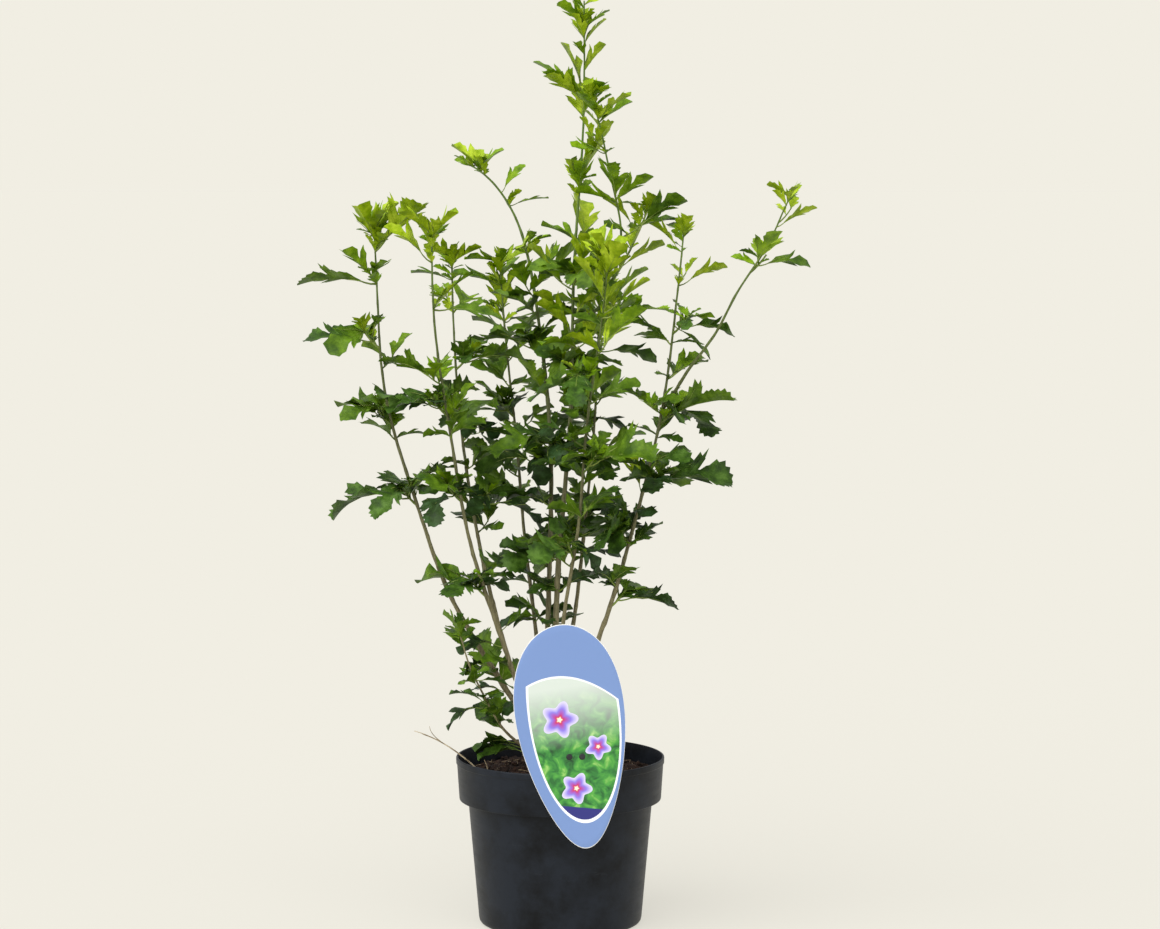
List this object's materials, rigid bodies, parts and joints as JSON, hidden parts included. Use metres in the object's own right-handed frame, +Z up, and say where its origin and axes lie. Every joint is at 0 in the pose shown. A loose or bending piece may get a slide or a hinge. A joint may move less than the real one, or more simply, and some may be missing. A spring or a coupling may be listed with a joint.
{
  "type": "rose of sharon in a nursery pot",
  "caption": "Young rose of sharon shrub of many thin upright canes with lobed leaves, in a round plastic nursery pot with a blank plant label clipped to the rim.",
  "frame": {"origin": "centre of the pot's flat underside", "axes": "+Z up along the plant's height, -Y towards the front with the label, +X to the right seen from the front"},
  "size_m": [0.4596, 0.3047, 0.8438],
  "materials": {
    "pot": "satin charcoal moulded polypropylene with light scuffs",
    "compost": "moist dark brown crumbly compost",
    "clip": "black moulded plastic",
    "label": "printed plastic sheet",
    "bark": "thin grey-brown bark, greener towards the tips",
    "old_leaves": "satin dark green leaves",
    "young_leaves": "satin yellow-green young leaves"
  },
  "bodies": {
    "root": {"pot": "pot", "soil": "compost", "label_clip": "clip", "label": "label", "trunk": "bark", "cane_far_left": "bark", "cane_left_front": "bark", "cane_left": "bark", "cane_back_left": "bark", "cane_tall": "bark", "branch_tall": "bark", "cane_back": "bark", "cane_right": "bark", "branch_far_right": "bark", "cane_front": "bark", "cane_rear": "bark", "shoot_low": "bark", "tip_far_left": "young_leaves", "tip_left_front": "young_leaves", "tip_left": "old_leaves", "tip_back_left": "young_leaves", "tip_tall": "young_leaves", "tip_branch_tall": "young_leaves", "tip_back": "old_leaves", "tip_right": "young_leaves", "tip_branch_far_right": "young_leaves", "tip_front": "young_leaves", "tip_rear": "old_leaves", "tip_shoot_low": "old_leaves", "spray_far_left_1": "old_leaves", "spray_far_left_2": "old_leaves", "spray_far_left_3": "old_leaves", "spray_left_front_1": "old_leaves", "spray_left_front_2": "old_leaves", "spray_left_front_3": "old_leaves", "spray_left_1": "old_leaves", "spray_left_2": "old_leaves", "spray_left_3": "old_leaves", "spray_back_left_1": "old_leaves", "spray_back_left_2": "old_leaves", "spray_back_left_3": "old_leaves", "spray_tall_1": "old_leaves", "spray_tall_2": "old_leaves", "spray_tall_3": "old_leaves", "spray_tall_4": "young_leaves", "spray_branch_tall_1": "young_leaves", "spray_back_1": "old_leaves", "spray_back_2": "old_leaves", "spray_right_1": "old_leaves", "spray_right_2": "old_leaves", "spray_right_3": "old_leaves", "spray_right_4": "old_leaves", "spray_right_5": "old_leaves", "spray_branch_far_right_1": "young_leaves", "spray_front_1": "old_leaves", "spray_front_2": "old_leaves", "spray_front_3": "old_leaves", "spray_rear_1": "old_leaves", "spray_rear_2": "old_leaves"}
  },
  "joints": []
}
